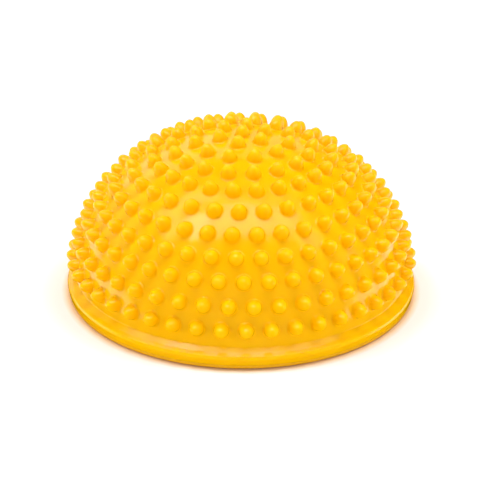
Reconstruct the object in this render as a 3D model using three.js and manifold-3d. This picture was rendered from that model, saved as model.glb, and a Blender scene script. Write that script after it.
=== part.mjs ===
// Balance dome trainer: an air-filled half ball of soft PVC with blunt studs all over it.
// It stands on a flat base disc that is welded to the rim. A stopper closes the valve in
// the middle of the disc, and pulls straight down out of it.
//
// Millimetres, +Z up. The origin is the centre of the base, on the floor. -Y is the front.

import * as THREE from "three";
import { mergeVertices } from "three/addons/utils/BufferGeometryUtils.js";
import Module from "manifold-3d";

const wasm = await Module();
wasm.setup();
const { Manifold, Mesh } = wasm;

// ---- driving dimensions ----

const RIM_R = 80; // widest circle of the lip: the dome is sold as a 16 cm size
const LIP_FOOT_R = 79.3; // the lip's side leans in a little towards the floor
const LIP_TOP_Z = 5.6; // where the lip's edge turns in to the sloping shoulder
const SHOULDER_Z = 9.4; // where the shoulder runs into the wall
const WALL_R = 75.9; // horizontal half axis of the half ball's outer skin
const WALL_H = 67.8; // its vertical half axis: the crown is a little flatter than a sphere
const WALL_Z = 6.0; // height of the half ball's centre
const WALL_T = 2.4; // skin thickness
const SEGMENTS = 60; // facets round the skin

const STUD_R = 3.8; // stud radius at its root
const STUD_NECK_R = 3.0; // where the stud starts to round over
const STUD_NECK_H = 3.1;
const STUD_H = 5.2;
const STUD_SIDES = 6;

// One row of studs after another, from the rim to the crown. angle is the ellipse angle up
// the skin, count is the number of studs in the row, and turn is the first stud's bearing
// from the front. All three are in or per degrees.
const STUD_ROWS = [
  { angle: 8.6, count: 45, turn: 1.8 },
  { angle: 17.0, count: 43, turn: 4.3 },
  { angle: 25.6, count: 41, turn: 0.9 },
  { angle: 33.8, count: 38, turn: 7.5 },
  { angle: 42.1, count: 34, turn: 6.6 },
  { angle: 50.5, count: 29, turn: 11.2 },
  { angle: 58.7, count: 25, turn: 9.1 },
  { angle: 66.1, count: 18, turn: 9.2 },
  { angle: 73.9, count: 12, turn: 15.0 },
  { angle: 82.1, count: 6, turn: 50.1 },
  { angle: 90.0, count: 1, turn: 0.0 },
];

const BASE_T = 3.0; // base disc, inside the rim
const BASE_EDGE_T = 1.7; // the weld flange under the lip
const BASE_R = 79.2;
const GAP = 0.3; // clearance between pieces that touch

const GROOVE_RADII = [28, 46, 64]; // grip grooves under the disc
const GROOVE_W = 1.6;
const GROOVE_DEPTH = 0.7;

const RECESS_R = 9.5; // pocket in the disc that keeps the stopper off the floor
const RECESS_DEPTH = 3.6;
const SLEEVE_R = 4.0; // valve sleeve
const SLEEVE_FLANGE_R = 7.5;
const SLEEVE_TOP_Z = 16;
const BORE_R = 2.6;
const STOPPER_HEAD_R = 7.0;
const STOPPER_HEAD_T = 2.4;
const STOPPER_BOTTOM_Z = 0.8;
const STOPPER_TOP_Z = 13.6; // the tip of its shaft, inside the sleeve

// ---- helpers ----

const radians = THREE.MathUtils.degToRad;

// A closed surface of revolution about Z from [radius, z] points that run counter-clockwise
// when radius points right and z points up.
function turned(points, segments = SEGMENTS) {
  const profile = points.map(([r, z]) => new THREE.Vector2(r, z));
  const geometry = new THREE.LatheGeometry(profile, segments);
  return geometry.rotateX(Math.PI / 2);
}

// The manifold-3d solid of a closed three.js geometry.
function solidOf(geometry) {
  const bare = geometry.clone();
  bare.deleteAttribute("normal");
  bare.deleteAttribute("uv");
  const merged = mergeVertices(bare, 1e-4);
  return new Manifold(
    new Mesh({
      numProp: 3,
      vertProperties: new Float32Array(merged.attributes.position.array),
      triVerts: new Uint32Array(merged.index.array),
    }),
  );
}

// A solid as a named three.js mesh with its own material.
function piece(name, solid, material) {
  const { vertProperties, triVerts } = solid.getMesh();
  const geometry = new THREE.BufferGeometry();
  geometry.setAttribute("position", new THREE.BufferAttribute(vertProperties, 3));
  geometry.setIndex(new THREE.BufferAttribute(triVerts, 1));
  const flat = geometry.toNonIndexed();
  flat.computeVertexNormals();
  const mesh = new THREE.Mesh(flat, material);
  mesh.name = name;
  return mesh;
}

// Points up the inside of the half ball's skin, from its widest circle to the crown.
function innerMeridian(steps) {
  const points = [];
  for (let i = 0; i < steps; i++) {
    const t = (Math.PI / 2) * (i / steps);
    points.push([
      (WALL_R - WALL_T) * Math.cos(t),
      WALL_Z + (WALL_H - WALL_T) * Math.sin(t),
    ]);
  }
  points.push([0, WALL_Z + WALL_H - WALL_T]);
  return points;
}

// ---- dome shell: lip, shoulder and skin, with the studs moulded on ----

// The point of the half ball's outer skin in the direction of a given point.
function ontoSkin(point) {
  const p = point.clone();
  p.z -= WALL_Z;
  const reach = Math.hypot(p.x / WALL_R, p.y / WALL_R, p.z / WALL_H);
  p.divideScalar(reach);
  p.z += WALL_Z;
  return p;
}

// A coordinate as the 32-bit number that a mesh holds, so that shared corners stay equal.
function stored(point) {
  return new THREE.Vector3(...point.toArray().map(Math.fround));
}

// A stud stands square to the skin, so its axis is the ellipse's normal.
function makeStud(angle, bearing) {
  const t = radians(angle);
  const centre = new THREE.Vector3(WALL_R * Math.cos(t), 0, WALL_Z + WALL_H * Math.sin(t));
  const axis = new THREE.Vector3(Math.cos(t) / WALL_R, 0, Math.sin(t) / WALL_H).normalize();
  const up = new THREE.Vector3(-axis.z, 0, axis.x);
  const turnBy = radians(bearing - 90);
  const zAxis = new THREE.Vector3(0, 0, 1);
  for (const v of [centre, axis, up]) v.applyAxisAngle(zAxis, turnBy);
  const side = new THREE.Vector3().crossVectors(axis, up);

  const around = (radius, height) => {
    const points = [];
    for (let i = 0; i < STUD_SIDES; i++) {
      const a = (2 * Math.PI * i) / STUD_SIDES;
      const p = centre.clone().addScaledVector(axis, height);
      p.addScaledVector(up, radius * Math.cos(a));
      p.addScaledVector(side, radius * Math.sin(a));
      points.push(p);
    }
    return points;
  };
  const root = around(STUD_R, 0).map((p) => stored(ontoSkin(p)));
  const neck = around(STUD_NECK_R, STUD_NECK_H).map(stored);
  const tip = stored(centre.clone().addScaledVector(axis, STUD_H));
  return { centre, root, neck, tip };
}

function allStuds() {
  const studs = [];
  for (const { angle, count, turn } of STUD_ROWS) {
    for (let i = 0; i < count; i++) {
      studs.push(makeStud(angle, turn + (360 * i) / count));
    }
  }
  return studs;
}

// The half ball is convex, so its skin is the hull of the studs' roots and of a rim circle.
// Each stud then takes the place of the flat patch inside its own root.
function studdedHalfBall(bottomZ) {
  const studs = allStuds();
  const rim = turned([
    [WALL_R, bottomZ],
    [WALL_R, WALL_Z],
  ]).getAttribute("position");
  const points = studs.flatMap((s) => s.root);
  for (let i = 0; i < rim.count; i++) {
    points.push(stored(new THREE.Vector3().fromBufferAttribute(rim, i)));
  }
  const { vertProperties, triVerts } = Manifold.hull(points.map((p) => p.toArray())).getMesh();

  const corners = [];
  for (let i = 0; i < triVerts.length; i += 3) {
    const face = [0, 1, 2].map((k) =>
      new THREE.Vector3().fromArray(vertProperties, 3 * triVerts[i + k]),
    );
    const insideRoot = studs.some((s) =>
      face.every((corner) => corner.distanceTo(s.centre) < STUD_R * 1.02),
    );
    if (!insideRoot) corners.push(...face);
  }
  for (const { root, neck, tip } of studs) {
    for (let i = 0; i < STUD_SIDES; i++) {
      const j = (i + 1) % STUD_SIDES;
      corners.push(root[i], root[j], neck[j]);
      corners.push(root[i], neck[j], neck[i]);
      corners.push(neck[i], neck[j], tip);
    }
  }
  return solidOf(new THREE.BufferGeometry().setFromPoints(corners));
}

function domeShell() {
  const bottomZ = BASE_EDGE_T + GAP;
  const innerR = WALL_R - WALL_T;
  const lip = solidOf(
    turned([
      [innerR + 0.5, bottomZ],
      [LIP_FOOT_R - 0.4, bottomZ],
      [LIP_FOOT_R, bottomZ + 0.4],
      [RIM_R, LIP_TOP_Z - 0.8],
      [RIM_R - 0.3, LIP_TOP_Z],
      [RIM_R - 0.8, LIP_TOP_Z + 0.5],
      [RIM_R - 2.0, LIP_TOP_Z + 1.3],
      [WALL_R + 0.7, SHOULDER_Z - 1.3],
      [WALL_R - 0.6, SHOULDER_Z],
      [innerR + 0.5, SHOULDER_Z],
      [innerR + 0.5, bottomZ],
    ]),
  );
  const chamber = solidOf(
    turned([[0, bottomZ - 5], [innerR, bottomZ - 5], ...innerMeridian(8)], 48),
  );
  return studdedHalfBall(bottomZ).add(lip).subtract(chamber);
}

// ---- base disc: weld flange, step inside the rim, grip grooves and valve pocket ----

function baseDisc() {
  const stepR = WALL_R - WALL_T - GAP;
  const underside = [];
  for (const r of GROOVE_RADII) {
    underside.push([r - GROOVE_W / 2, 0]);
    underside.push([r - GROOVE_W / 4, GROOVE_DEPTH]);
    underside.push([r + GROOVE_W / 4, GROOVE_DEPTH]);
    underside.push([r + GROOVE_W / 2, 0]);
  }
  const pocketTop = RECESS_DEPTH + BASE_T;
  const profile = [
    [RECESS_R, 0],
    ...underside,
    [BASE_R - 0.9, 0],
    [BASE_R - 0.2, 0.6],
    [BASE_R, BASE_EDGE_T - 0.2],
    [BASE_R - 0.2, BASE_EDGE_T],
    [stepR, BASE_EDGE_T],
    [stepR, BASE_T],
    [RECESS_R + 5, BASE_T],
    [RECESS_R + 2.5, pocketTop],
    [SLEEVE_R + GAP, pocketTop],
    [SLEEVE_R + GAP, RECESS_DEPTH],
    [RECESS_R - 0.5, RECESS_DEPTH],
    [RECESS_R, 0],
  ];
  return solidOf(turned(profile));
}

// ---- valve: a flanged sleeve inside the chamber, and the stopper in its bore ----

function valveSleeve() {
  const flangeZ = RECESS_DEPTH + BASE_T + GAP;
  const profile = [
    [BORE_R, RECESS_DEPTH],
    [SLEEVE_R, RECESS_DEPTH],
    [SLEEVE_R, flangeZ],
    [SLEEVE_FLANGE_R, flangeZ],
    [SLEEVE_FLANGE_R, flangeZ + 1.4],
    [SLEEVE_R, flangeZ + 2.2],
    [SLEEVE_R - 0.3, SLEEVE_TOP_Z],
    [BORE_R, SLEEVE_TOP_Z],
    [BORE_R, RECESS_DEPTH],
  ];
  return solidOf(turned(profile, 32));
}

function valveStopper() {
  const headTop = STOPPER_BOTTOM_Z + STOPPER_HEAD_T;
  const shaftR = BORE_R - GAP;
  const profile = [
    [0, STOPPER_BOTTOM_Z + 0.5],
    [2.2, STOPPER_BOTTOM_Z + 0.5],
    [2.8, STOPPER_BOTTOM_Z],
    [STOPPER_HEAD_R - 0.5, STOPPER_BOTTOM_Z],
    [STOPPER_HEAD_R, STOPPER_BOTTOM_Z + 0.5],
    [STOPPER_HEAD_R, headTop - 0.5],
    [STOPPER_HEAD_R - 0.5, headTop],
    [shaftR, headTop],
    [shaftR, STOPPER_TOP_Z - 2.1],
    [shaftR - 0.8, STOPPER_TOP_Z - 0.4],
    [0, STOPPER_TOP_Z],
  ];
  return solidOf(turned(profile, 32));
}

// ---- the part ----

const yellowPvc = { color: 0xf9bd0a, roughness: 0.3, metalness: 0 };
const palePvc = { color: 0xf2e6c4, roughness: 0.4, metalness: 0 };

const part = new THREE.Group();
part.name = "balance_dome_trainer";
part.add(
  piece("dome_shell", domeShell(), new THREE.MeshStandardMaterial(yellowPvc)),
  piece("base_disc", baseDisc(), new THREE.MeshStandardMaterial(yellowPvc)),
  piece("valve_sleeve", valveSleeve(), new THREE.MeshStandardMaterial(yellowPvc)),
  piece("valve_stopper", valveStopper(), new THREE.MeshStandardMaterial(palePvc)),
);

export default part;
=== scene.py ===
"""Balance dome trainer: the looks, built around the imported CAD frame."""

import math

import bpy
import numpy as np
from mathutils import Matrix, Vector
from mathutils.geometry import delaunay_2d_cdt


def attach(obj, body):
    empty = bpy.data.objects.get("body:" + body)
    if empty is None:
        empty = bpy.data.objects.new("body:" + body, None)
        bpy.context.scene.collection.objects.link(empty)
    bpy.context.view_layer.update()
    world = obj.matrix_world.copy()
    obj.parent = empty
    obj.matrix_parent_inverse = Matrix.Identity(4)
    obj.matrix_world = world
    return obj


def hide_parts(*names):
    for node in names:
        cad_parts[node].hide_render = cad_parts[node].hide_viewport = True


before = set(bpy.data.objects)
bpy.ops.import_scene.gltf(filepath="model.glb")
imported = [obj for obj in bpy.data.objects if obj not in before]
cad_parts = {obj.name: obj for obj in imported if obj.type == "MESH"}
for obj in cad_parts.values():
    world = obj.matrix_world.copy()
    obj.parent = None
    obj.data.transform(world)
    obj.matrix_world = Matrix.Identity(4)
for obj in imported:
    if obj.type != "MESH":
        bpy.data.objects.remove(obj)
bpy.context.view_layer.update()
MM = 0.001

# ---------------------------------------------------------------- dimensions, millimetres

WALL_R = 75.9  # horizontal half axis of the skin
WALL_H = 67.8  # vertical half axis
WALL_Z = 6.0  # height of its centre
WALL_T = 2.4
INNER_R = WALL_R - WALL_T
INNER_H = WALL_H - WALL_T
SHOULDER_Z = 9.2  # where the shoulder meets the wall
RIM_R = 80.0
LIP_BOTTOM_Z = 1.84  # a hair above the base's weld flange

STUD_R = 3.3
STUD_H = 5.2
STUD_BLUNT = 1.9  # 1 is a parabola, 2 an ellipse
STUD_VARIATION = 0.008  # spread of the studs' heights, as a share
FILLET = 0.9  # where a stud runs into the skin
FOOT_R = STUD_R + FILLET

STUD_ROWS = [  # ellipse angle, studs in the row, bearing of the first one, in degrees
    (8.6, 45, 1.8),
    (17.0, 43, 4.3),
    (25.6, 41, 0.9),
    (33.8, 38, 7.5),
    (42.1, 34, 6.6),
    (50.5, 29, 11.2),
    (58.7, 25, 9.1),
    (66.1, 18, 9.2),
    (73.9, 12, 15.0),
    (82.1, 6, 50.1),
    (90.0, 1, 0.0),
]

BASE_T = 3.0  # base disc inside the rim
FLANGE_T = 1.8  # its weld flange, under the lip
STEP_R = 72.8
GROOVE_RADII = (28, 46, 64)
GROOVE_W = 1.6
GROOVE_DEPTH = 0.7
POCKET_R = 9.2  # the recess that keeps the stopper off the floor
POCKET_Z = 3.6
POCKET_TOP_Z = 6.6
SLEEVE_R = 4.0
BORE_R = 2.6
STOPPER_HEAD_R = 7.0
STOPPER_SHAFT_R = 2.3

# fineness of the meshes
STUD_SIDES = 18
SKIN_SEGMENTS = 180
SKIN_SPACING = 2.6  # between the skin's points that no stud or rim takes up
FOOT_CLEARANCE = 1.0  # those points stay this far from the studs' feet
RIM_CLEARANCE = 1.6  # and this far from the rim
FILLET_STEPS = (30, 60, 90)  # degrees
STUD_STEPS = (0.25, 0.37, 0.49, 0.6, 0.7, 0.79, 0.87, 0.93, 0.97, 0.992)  # of its height
INNER_STEPS = 24
CORNER_STEPS = 5
VALVE_SEGMENTS = 48
STOPPER_SEGMENTS = 64
SHARP_DEG = 40  # edges sharper than this stay sharp

rng = np.random.default_rng(16)

# ---------------------------------------------------------------- mesh helpers


def add_mesh(name, verts, faces, material, normals=None):
    """A smooth mesh with its own normals, or else with its sharp edges kept."""
    mesh = bpy.data.meshes.new(name)
    mesh.from_pydata([tuple(v) for v in np.asarray(verts) * MM], [], faces)
    mesh.validate()
    mesh.polygons.foreach_set("use_smooth", [True] * len(mesh.polygons))
    if normals is None:
        mesh.set_sharp_from_angle(angle=math.radians(SHARP_DEG))
    else:
        mesh.normals_split_custom_set_from_vertices([tuple(n) for n in normals])
    mesh.materials.append(material)
    mesh.update()
    obj = bpy.data.objects.new(name, mesh)
    bpy.context.scene.collection.objects.link(obj)
    return obj


def rounded(corners):
    """A profile from (r, z, radius) corners, with each corner turned into an arc of that radius."""
    out = []
    last = len(corners) - 1
    for i, (r, z, radius) in enumerate(corners):
        if radius <= 0 or i in (0, last):
            out.append((r, z))
            continue
        here = Vector((r, z))
        before = Vector(corners[i - 1][:2]) - here
        after = Vector(corners[i + 1][:2]) - here
        angle = before.angle(after)
        if abs(angle - math.pi) < 1e-3:
            out.append((r, z))
            continue
        # the arc takes up less than half of either side
        reach = min(
            radius / math.tan(angle / 2), before.length * 0.49, after.length * 0.49
        )
        start = here + before.normalized() * reach
        end = here + after.normalized() * reach
        for k in range(CORNER_STEPS + 1):
            s = k / CORNER_STEPS
            p = start * (1 - s) ** 2 + here * 2 * s * (1 - s) + end * s * s
            out.append((p.x, p.y))
    return out


def lathe(profile, segments):
    """Vertices, faces and rows of a profile turned about Z. A point on the axis is one vertex."""
    verts, rows = [], []
    for r, z in profile:
        if r < 1e-6:
            rows.append([len(verts)])
            verts.append((0.0, 0.0, z))
            continue
        row = []
        for k in range(segments):
            a = 2 * math.pi * k / segments
            row.append(len(verts))
            verts.append((r * math.sin(a), -r * math.cos(a), z))
        rows.append(row)
    faces = []
    for low, high in zip(rows, rows[1:]):
        for k in range(segments):
            j = (k + 1) % segments
            if len(low) == 1 and len(high) == 1:
                continue
            if len(low) == 1:
                faces.append((low[0], high[j], high[k]))
            elif len(high) == 1:
                faces.append((low[k], low[j], high[0]))
            else:
                faces.append((low[k], low[j], high[j], high[k]))
    return verts, faces, rows


def closed_lathe(name, corners, segments, material):
    """A closed ring, or a solid that starts and ends on the axis."""
    profile = rounded(corners)
    verts, faces, rows = lathe(profile, segments)
    if profile[0][0] > 1e-6:
        first, last = rows[0], rows[-1]
        for k in range(segments):
            j = (k + 1) % segments
            faces.append((last[k], last[j], first[j], first[k]))
    return add_mesh(name, verts, faces, material)


# ---------------------------------------------------------------- the skin's geometry


def onto_skin(p):
    q = np.array(p, float)
    q[..., 2] -= WALL_Z
    reach = np.sqrt(
        (q[..., 0] / WALL_R) ** 2 + (q[..., 1] / WALL_R) ** 2 + (q[..., 2] / WALL_H) ** 2
    )
    q /= reach[..., None]
    q[..., 2] += WALL_Z
    return q


def skin_normal(p):
    n = np.array(p, float)
    n[..., 2] -= WALL_Z
    n /= np.array([WALL_R**2, WALL_R**2, WALL_H**2])
    return n / np.linalg.norm(n, axis=-1, keepdims=True)


# distance along the skin from the crown, for each ellipse angle of the table
TABLE_T = np.linspace(0, math.pi / 2, 2001)
STEP = np.hypot(WALL_R * np.sin(TABLE_T), WALL_H * np.cos(TABLE_T))
ARC_FROM_RIM = np.concatenate(
    [[0], np.cumsum((STEP[1:] + STEP[:-1]) / 2 * np.diff(TABLE_T))]
)
ARC = ARC_FROM_RIM[-1] - ARC_FROM_RIM

SHOULDER_T = math.asin((SHOULDER_Z - WALL_Z) / WALL_H)
SHOULDER_R = WALL_R * math.cos(SHOULDER_T)
SHOULDER_ARC = float(np.interp(SHOULDER_T, TABLE_T, ARC))


def to_map(p):
    """Skin points laid out flat round the crown, at their true distance from it."""
    t = np.arcsin(np.clip((p[:, 2] - WALL_Z) / WALL_H, -1, 1))
    s = np.interp(t, TABLE_T, ARC)
    az = np.arctan2(p[:, 0], -p[:, 1])
    return np.stack([s * np.sin(az), -s * np.cos(az)], 1)


def from_map(uv):
    s = np.hypot(uv[:, 0], uv[:, 1])
    az = np.arctan2(uv[:, 0], -uv[:, 1])
    t = np.interp(-s, -ARC, TABLE_T)
    r = WALL_R * np.cos(t)
    return np.stack([r * np.sin(az), -r * np.cos(az), WALL_Z + WALL_H * np.sin(t)], 1)


def stud_frames():
    """Centre on the skin, axis and two tangents of every stud."""
    frames = []
    for angle, count, turn in STUD_ROWS:
        t = math.radians(angle)
        r = WALL_R * math.cos(t)
        z = WALL_Z + WALL_H * math.sin(t)
        for k in range(count):
            az = math.radians(turn + 360 * k / count)
            centre = np.array([r * math.sin(az), -r * math.cos(az), z])
            axis = skin_normal(centre)
            side = np.array([math.cos(az), math.sin(az), 0.0])
            frames.append((centre, axis, side, np.cross(axis, side)))
    return frames


def stud_radius(height):
    return STUD_R * math.sqrt(max(0.0, 1 - (height / STUD_H) ** STUD_BLUNT))


def stud_profile():
    """(radius, height, normal) rows from just above the foot to just below the tip."""
    rows = []
    for deg in FILLET_STEPS:
        s, c = math.sin(math.radians(deg)), math.cos(math.radians(deg))
        rows.append((FOOT_R - FILLET * s, FILLET * (1 - c), (s, c)))
    for share in STUD_STEPS:
        h = share * STUD_H
        slope = (stud_radius(h + 1e-4) - stud_radius(h - 1e-4)) / 2e-4
        length = math.hypot(1, slope)
        rows.append((stud_radius(h), h, (1 / length, -slope / length)))
    return rows


def rim_circle():
    az = 2 * np.pi * np.arange(SKIN_SEGMENTS) / SKIN_SEGMENTS
    height = np.full(SKIN_SEGMENTS, SHOULDER_Z)
    return np.stack([SHOULDER_R * np.sin(az), -SHOULDER_R * np.cos(az), height], 1)


def foot_circles(studs, ring):
    circles = []
    for centre, _axis, side, up in studs:
        across = FOOT_R * np.cos(ring)[:, None] * side
        along = FOOT_R * np.sin(ring)[:, None] * up
        circles.append(onto_skin(centre + across + along))
    return np.array(circles)


def points_between(studs):
    """A hexagonal spread of skin points that keeps clear of the rim and of the studs."""
    span = int(SHOULDER_ARC / SKIN_SPACING) + 2
    spread_out = []
    for i in range(-span, span + 1):
        for j in range(-span, span + 1):
            x = SKIN_SPACING * (i + 0.5 * (j % 2))
            spread_out.append((x, SKIN_SPACING * j * math.sqrt(3) / 2))
    flat = np.array(spread_out)
    flat = flat[np.hypot(flat[:, 0], flat[:, 1]) < SHOULDER_ARC - RIM_CLEARANCE]
    points = from_map(flat)
    keep = np.ones(len(points), bool)
    for centre, *_ in studs:
        keep &= np.linalg.norm(points - centre, axis=1) > FOOT_R + FOOT_CLEARANCE
    return points[keep]


def wall_faces(points, stud_count):
    """Triangles between the rim circle, the foot circles and the points between them."""
    edges = [(k, (k + 1) % SKIN_SEGMENTS) for k in range(SKIN_SEGMENTS)]
    for n in range(stud_count):
        first = SKIN_SEGMENTS + n * STUD_SIDES
        edges += [(first + k, first + (k + 1) % STUD_SIDES) for k in range(STUD_SIDES)]
    _, _, triangles, origin, _, _ = delaunay_2d_cdt(
        [Vector(p) for p in to_map(points)], edges, [], 0, 1e-7, True
    )
    source = [o[0] for o in origin]

    stud_of = np.full(len(points), -1)
    stud_of[SKIN_SEGMENTS : SKIN_SEGMENTS + stud_count * STUD_SIDES] = np.repeat(
        np.arange(stud_count), STUD_SIDES
    )
    faces = []
    for tri in triangles:
        ids = tuple(source[v] for v in tri)
        owners = {stud_of[v] for v in ids}
        inside_a_foot = len(owners) == 1 and -1 not in owners
        if not inside_a_foot:
            faces.append(ids)
    return faces


def lip_profile():
    """From the foot of the wall down over shoulder and lip, and up the inside to the crown."""
    profile = rounded(
        [
            (SHOULDER_R, SHOULDER_Z, 0),
            (75.98, 8.65, 0.8),
            (77.9, 6.9, 5.0),
            (79.55, 5.95, 0.7),
            (RIM_R, 4.7, 1.0),
            (79.5, LIP_BOTTOM_Z, 0.25),
            (INNER_R + 0.6, LIP_BOTTOM_Z, 0.4),
            (INNER_R, 2.4, 0.4),
            (INNER_R, WALL_Z, 0),
        ]
    )
    for k in range(1, INNER_STEPS):
        t = math.pi / 2 * k / INNER_STEPS
        profile.append((INNER_R * math.cos(t), WALL_Z + INNER_H * math.sin(t)))
    profile.append((0.0, WALL_Z + INNER_H))
    return profile


def build_skin():
    """Wall, studs, shoulder, lip and inside as one closed surface: points, faces, normals."""
    studs = stud_frames()
    ring = 2 * np.pi * np.arange(STUD_SIDES) / STUD_SIDES
    feet = foot_circles(studs, ring)
    points = np.concatenate([rim_circle(), feet.reshape(-1, 3), points_between(studs)])
    verts, normals = [points], [skin_normal(points)]
    faces = wall_faces(points, len(studs))
    count = len(points)

    # each stud, turned up from its foot circle, which follows the curve of the skin
    profile = stud_profile()
    for n, (centre, axis, side, up) in enumerate(studs):
        outward = np.cos(ring)[:, None] * side + np.sin(ring)[:, None] * up
        drop = (feet[n] - centre) @ axis
        scale = 1 + rng.normal(0, STUD_VARIATION)
        low = SKIN_SEGMENTS + n * STUD_SIDES + np.arange(STUD_SIDES)
        for radius, height, (n_out, n_up) in profile:
            lift = height * scale + drop * (radius / FOOT_R) ** 2
            verts.append(centre + radius * outward + lift[:, None] * axis)
            normals.append(n_out * outward + n_up * axis)
            high = count + np.arange(STUD_SIDES)
            count += STUD_SIDES
            for k in range(STUD_SIDES):
                j = (k + 1) % STUD_SIDES
                faces.append((int(low[k]), int(low[j]), int(high[j]), int(high[k])))
            low = high
        verts.append((centre + STUD_H * scale * axis)[None])
        normals.append(axis[None])
        for k in range(STUD_SIDES):
            faces.append((int(low[k]), int(low[(k + 1) % STUD_SIDES]), count))
        count += 1

    # the turned part, joined to the rim circle
    lip = lip_profile()
    ring_verts, ring_faces, rows = lathe(lip[1:], SKIN_SEGMENTS)
    path = np.array(lip)
    az = 2 * np.pi * np.arange(SKIN_SEGMENTS) / SKIN_SEGMENTS
    for i, row in enumerate(rows, start=1):
        if len(row) == 1:
            normals.append(np.array([[0.0, 0.0, -1.0]]))
            continue
        along = path[min(i + 1, len(path) - 1)] - path[i - 1]
        step_r, step_z = along / np.linalg.norm(along)
        normals.append(
            np.stack([-step_z * np.sin(az), step_z * np.cos(az), np.full(len(az), step_r)], 1)
        )
    verts.append(np.array(ring_verts))
    faces += [tuple(count + v for v in reversed(f)) for f in ring_faces]
    for k in range(SKIN_SEGMENTS):
        j = (k + 1) % SKIN_SEGMENTS
        faces.append((k, count + rows[0][k], count + rows[0][j], j))
    return np.concatenate(verts), faces, np.concatenate(normals)


# ---------------------------------------------------------------- materials

CLOUD_SCALE = 45  # slow drift of the colour
GLOSS_SCALE = 120  # patches of a little more or less gloss
PEEL_SCALE = 900  # fine orange peel of the moulding
PEEL_DEPTH = 0.0004
SOFT_DEPTH = 0.004  # how far light travels inside the skin
SOFT_TINT = (0.8, 0.75, 0.1)


def new_material(name):
    material = bpy.data.materials.new(name)
    material.use_nodes = True
    nodes = material.node_tree.nodes
    nodes.clear()
    out = nodes.new("ShaderNodeOutputMaterial")
    shader = nodes.new("ShaderNodeBsdfPrincipled")
    material.node_tree.links.new(shader.outputs["BSDF"], out.inputs["Surface"])
    return material, material.node_tree, shader


def noise(tree, scale, rough=0.5):
    coords = tree.nodes.new("ShaderNodeTexCoord")
    node = tree.nodes.new("ShaderNodeTexNoise")
    node.inputs["Scale"].default_value = scale
    node.inputs["Detail"].default_value = 3.0
    node.inputs["Roughness"].default_value = rough
    tree.links.new(coords.outputs["Object"], node.inputs["Vector"])
    return node.outputs["Fac"]


def spread(tree, value, low, high, from_low=0.3, from_high=0.7):
    node = tree.nodes.new("ShaderNodeMapRange")
    node.inputs["From Min"].default_value = from_low
    node.inputs["From Max"].default_value = from_high
    node.inputs["To Min"].default_value = low
    node.inputs["To Max"].default_value = high
    tree.links.new(value, node.inputs["Value"])
    return node.outputs["Result"]


def mix_colour(tree, factor, a, b):
    node = tree.nodes.new("ShaderNodeMix")
    node.data_type = "RGBA"
    tree.links.new(factor, node.inputs["Factor"])
    node.inputs[6].default_value = (*a, 1)
    node.inputs[7].default_value = (*b, 1)
    return node.outputs[2]


def pvc(name, deep, light, rough, subsurface=0.25):
    """Soft moulded PVC. Its colour drifts from deep to light, and its gloss between rough."""
    material, tree, shader = new_material(name)
    cloud = spread(tree, noise(tree, CLOUD_SCALE), 0, 1)
    tree.links.new(mix_colour(tree, cloud, deep, light), shader.inputs["Base Color"])
    gloss = spread(tree, noise(tree, GLOSS_SCALE), *rough)
    tree.links.new(gloss, shader.inputs["Roughness"])
    shader.inputs["IOR"].default_value = 1.48
    shader.inputs["Subsurface Weight"].default_value = subsurface
    shader.inputs["Subsurface Radius"].default_value = SOFT_TINT
    shader.inputs["Subsurface Scale"].default_value = SOFT_DEPTH
    peel = tree.nodes.new("ShaderNodeBump")
    peel.inputs["Strength"].default_value = 0.04
    peel.inputs["Distance"].default_value = PEEL_DEPTH
    tree.links.new(noise(tree, PEEL_SCALE, rough=0.6), peel.inputs["Height"])
    tree.links.new(peel.outputs["Normal"], shader.inputs["Normal"])
    return material


skin_pvc = pvc(
    "skin_pvc", (0.93, 0.48, 0.0), (0.955, 0.50, 0.001), rough=(0.11, 0.16), subsurface=0.4
)
base_pvc = pvc("base_pvc", (0.86, 0.42, 0.001), (0.91, 0.45, 0.002), rough=(0.32, 0.45))
valve_pvc = pvc("valve_pvc", (0.84, 0.40, 0.001), (0.88, 0.43, 0.002), rough=(0.32, 0.42))
stopper_pvc = pvc("stopper_pvc", (0.80, 0.74, 0.58), (0.86, 0.80, 0.66), rough=(0.3, 0.4))

# ---------------------------------------------------------------- pieces

skin_verts, skin_faces, skin_normals = build_skin()
skin = add_mesh("studded_skin", skin_verts, skin_faces, skin_pvc, normals=skin_normals)
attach(skin, "dome")
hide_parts("dome_shell")

underside = [(POCKET_R + 0.3, 0.0, 0.5)]
for groove_r in GROOVE_RADII:
    underside += [
        (groove_r - GROOVE_W / 2, 0.0, 0.25),
        (groove_r - GROOVE_W / 4, GROOVE_DEPTH, 0.3),
        (groove_r + GROOVE_W / 4, GROOVE_DEPTH, 0.3),
        (groove_r + GROOVE_W / 2, 0.0, 0.25),
    ]
base = closed_lathe(
    "base_plate",
    [
        (POCKET_R, 1.8, 0),
        *underside,
        (78.7, 0.0, 0.4),
        (79.3, 0.5, 0.6),
        (79.45, FLANGE_T, 0.2),
        (STEP_R, FLANGE_T, 0.0),
        (STEP_R, BASE_T, 0.5),
        (14.5, BASE_T, 1.5),
        (12.0, POCKET_TOP_Z, 1.0),
        (SLEEVE_R + 0.3, POCKET_TOP_Z, 0.4),
        (SLEEVE_R + 0.3, POCKET_Z, 0.3),
        (POCKET_R - 0.2, POCKET_Z, 0.6),
        (POCKET_R, 1.8, 0),
    ],
    SKIN_SEGMENTS,
    base_pvc,
)
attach(base, "dome")
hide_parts("base_disc")

sleeve = closed_lathe(
    "valve_tube",
    [
        (BORE_R, 5.0, 0),
        (BORE_R, POCKET_Z, 0.3),
        (SLEEVE_R, POCKET_Z, 0.3),
        (SLEEVE_R, 6.9, 0.2),
        (7.5, 6.9, 0.3),
        (7.5, 8.3, 0.5),
        (4.2, 9.1, 0.8),
        (3.7, 16.0, 0.4),
        (BORE_R, 16.0, 0.3),
        (BORE_R, 5.0, 0),
    ],
    VALVE_SEGMENTS,
    valve_pvc,
)
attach(sleeve, "dome")
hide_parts("valve_sleeve")

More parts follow.
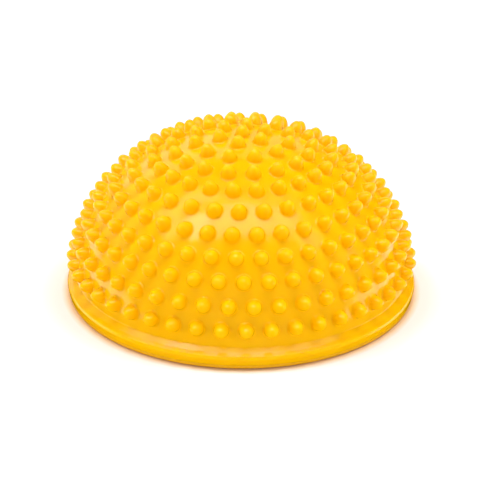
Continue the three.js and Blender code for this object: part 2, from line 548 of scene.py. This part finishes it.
stopper = closed_lathe(
    "stopper",
    [
        (0.0, 1.3, 0),
        (2.2, 1.3, 0.4),
        (2.8, 0.8, 0.3),
        (STOPPER_HEAD_R, 0.8, 0.6),
        (STOPPER_HEAD_R, 3.2, 0.5),
        (STOPPER_SHAFT_R, 3.2, 0.3),
        (STOPPER_SHAFT_R, 11.5, 0.5),
        (1.5, 13.2, 0.5),
        (0.0, 13.6, 0),
    ],
    STOPPER_SEGMENTS,
    stopper_pvc,
)
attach(stopper, "stopper")
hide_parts("valve_stopper")

# ---------------------------------------------------------------- floor and studio walls

FLOOR_HALF = 4
FLOOR_Z = -0.0002  # just clear of the base's flat face
FLOOR_WHITE = (0.93, 0.93, 0.93)
FLOOR_PAINTED_WARM_SHADE = (0.93, 0.70, 0.45)  # painted shade on the floor beside the rim: a warm orange tint that stands in for the contact shadow and the light the skin bounces onto the floor
# how far from the rim the painted contact shade and bounce light fade out, in mm
PAINTED_SHADE_REACH = 3.0
HORIZON = 0.85  # brightness of the studio's walls
ZENITH = 0.05  # and of its ceiling

floor_mesh = bpy.data.meshes.new("floor")
floor_corners = [
    (x * FLOOR_HALF, y * FLOOR_HALF, FLOOR_Z) for x, y in ((-1, -1), (1, -1), (1, 1), (-1, 1))
]
floor_mesh.from_pydata(floor_corners, [], [(0, 1, 2, 3)])
floor = bpy.data.objects.new("floor", floor_mesh)
bpy.context.scene.collection.objects.link(floor)
floor_material, floor_tree, floor_shader = new_material("floor")
floor_coords = floor_tree.nodes.new("ShaderNodeTexCoord")
from_centre = floor_tree.nodes.new("ShaderNodeVectorMath")
from_centre.operation = "LENGTH"
floor_tree.links.new(floor_coords.outputs["Object"], from_centre.inputs[0])
# painted light: the floor's colour turns from white to a darker warm orange towards the rim, as
# painted contact shadow and painted bounce light
past_painted_shade = spread(
    floor_tree, from_centre.outputs["Value"], 0, 1, RIM_R * MM, (RIM_R + PAINTED_SHADE_REACH) * MM
)
floor_colour_with_painted_shade = mix_colour(floor_tree, past_painted_shade, FLOOR_PAINTED_WARM_SHADE, FLOOR_WHITE)
floor_tree.links.new(floor_colour_with_painted_shade, floor_shader.inputs["Base Color"])
floor_shader.inputs["Roughness"].default_value = 0.9
floor_shader.inputs["Specular IOR Level"].default_value = 0.0
floor_mesh.materials.append(floor_material)
floor.visible_glossy = False

world = bpy.data.worlds.new("studio")
world.use_nodes = True
sky = world.node_tree
sky.nodes["Background"].inputs["Color"].default_value = (1, 1, 1, 1)
sky_direction = sky.nodes.new("ShaderNodeTexCoord")
split = sky.nodes.new("ShaderNodeSeparateXYZ")
sky.links.new(sky_direction.outputs["Generated"], split.inputs["Vector"])
sky_light = spread(sky, split.outputs["Z"], HORIZON, ZENITH, 0.0, 1.0)
sky.links.new(sky_light, sky.nodes["Background"].inputs["Strength"])
world.cycles_visibility.glossy = False
bpy.context.scene.world = world

# ---------------------------------------------------------------- lights

ORIGIN = (0, 0, 0)
DOME = (0, 0, 0.04)

# an overhead softbox, and fills all round: name, width, depth, place, target, radiance
LAMPS = (
    ("key", 1.3, 0.45, (0, -0.05, 1.0), (0, -0.05, 0), 6.0),
    ("front_fill", 2.0, 0.9, (0, -1.5, 0.3), DOME, 0.85),
    ("left_fill", 2.0, 0.9, (-1.4, -0.2, 0.4), DOME, 1.4),
    ("right_fill", 2.0, 0.9, (1.4, -0.2, 0.4), DOME, 1.4),
    ("back_fill", 2.0, 0.9, (0, 1.5, 0.4), DOME, 0.9),
)

# far off, so that the floor stays even: name, where it comes from, width in degrees, strength
FLOOR_SUNS = (
    ("sweep_left", (-0.53, 0.14, 1.0), 20, 1.0),
    ("sweep_middle", (0, 0.14, 1.0), 20, 1.0),
    ("sweep_right", (0.53, 0.14, 1.0), 20, 1.0),
    ("sweep_front", (0, -1.3, 0.8), 30, 0.45),
)

# what the shiny skin mirrors, which is the softbox with its bright end, the lit backdrop and
# the floor: the same columns as LAMPS
MIRRORED = (
    ("glow_middle", 0.64, 0.46, (-0.01, -0.28, 0.98), (-0.01, -0.28, 0), 2.4),
    ("glow_bright_end", 0.32, 0.36, (-0.49, -0.30, 0.97), (-0.49, -0.30, 0), 4.4),
    ("glow_left_end", 0.42, 0.4, (-0.87, -0.14, 0.96), (-0.87, -0.14, 0), 1.5),
    ("glow_left_back", 0.8, 0.2, (-0.6, 0.12, 0.96), (-0.6, 0.12, 0), 1.3),
    ("glow_right_end", 0.28, 0.4, (0.46, -0.24, 0.97), (0.46, -0.24, 0), 1.6),
    ("backdrop_left", 1.0, 1.37, (-0.60, 1.3, 0.87), (-0.60, 0, 0.87), 0.85),
    ("backdrop_right", 0.57, 1.37, (0.19, 1.3, 0.87), (0.19, 0, 0.87), 0.5),
    ("backdrop_far_left", 1.2, 1.0, (-1.4, 0.7, 0.55), (0, 0, 0.2), 0.25),
    ("floor_left", 0.94, 0.34, (-0.56, 0.08, 0.001), (-0.56, 0.08, 1), 1.5),
    ("floor_right", 0.94, 0.34, (0.56, 0.08, 0.001), (0.56, 0.08, 1), 1.8),
    ("floor_back", 3.2, 1.2, (0, 0.85, 0.001), (0, 0.85, 1), 0.8),
    ("side_card", 0.28, 0.28, (0.72, -0.29, 0.78), DOME, 1.1),
    ("low_side_card", 0.2, 0.2, (1.2, -0.06, 0.36), DOME, 1.2),
)


def aimed_light(data, place, target):
    obj = bpy.data.objects.new(data.name, data)
    obj.location = place
    direction = Vector(target) - Vector(place)
    obj.rotation_euler = direction.to_track_quat("-Z", "Y").to_euler()
    bpy.context.scene.collection.objects.link(obj)
    return obj


def area_light(name, width, depth, place, target, radiance):
    data = bpy.data.lights.new(name, "AREA")
    data.shape = "RECTANGLE"
    data.size = width
    data.size_y = depth
    data.energy = radiance * math.pi * width * depth
    return aimed_light(data, place, target)


pieces_only = bpy.data.collections.new("pieces")
for piece in (skin, base, sleeve, stopper):
    pieces_only.objects.link(piece)
floor_only = bpy.data.collections.new("sweep")
floor_only.objects.link(floor)

for row in LAMPS:
    lamp = area_light(*row)
    lamp.visible_glossy = False
    lamp.light_linking.receiver_collection = pieces_only

for name, place, width_deg, strength in FLOOR_SUNS:
    sun_data = bpy.data.lights.new(name, "SUN")
    sun_data.energy = strength
    sun_data.angle = math.radians(width_deg)
    sun = aimed_light(sun_data, place, ORIGIN)
    sun.visible_glossy = False
    sun.light_linking.receiver_collection = floor_only

for row in MIRRORED:
    card = area_light(*row)
    card.visible_diffuse = False
    card.visible_camera = False

# ---------------------------------------------------------------- camera

VIEW_W = 0.223056  # metres that the view spans at the base's centre
DISTANCE = 0.762108
ELEVATION = math.radians(27.2)
ROLL = math.radians(0.47)
SENSOR = 36  # mm
AIM = Vector((-0.00066, 0, 0.0223))

camera_data = bpy.data.cameras.new("camera")
camera_data.sensor_width = SENSOR
camera_data.lens = SENSOR * DISTANCE / VIEW_W
camera = bpy.data.objects.new("camera", camera_data)
eye = Vector((AIM.x, -DISTANCE * math.cos(ELEVATION), DISTANCE * math.sin(ELEVATION)))
look = (AIM - eye).to_track_quat("-Z", "Y").to_matrix().to_4x4()
camera.matrix_world = Matrix.Translation(eye) @ look @ Matrix.Rotation(ROLL, 4, "Z")
bpy.context.scene.collection.objects.link(camera)
bpy.context.scene.camera = camera
bpy.context.scene.view_settings.view_transform = "Standard"
bpy.context.scene.view_settings.look = "None"
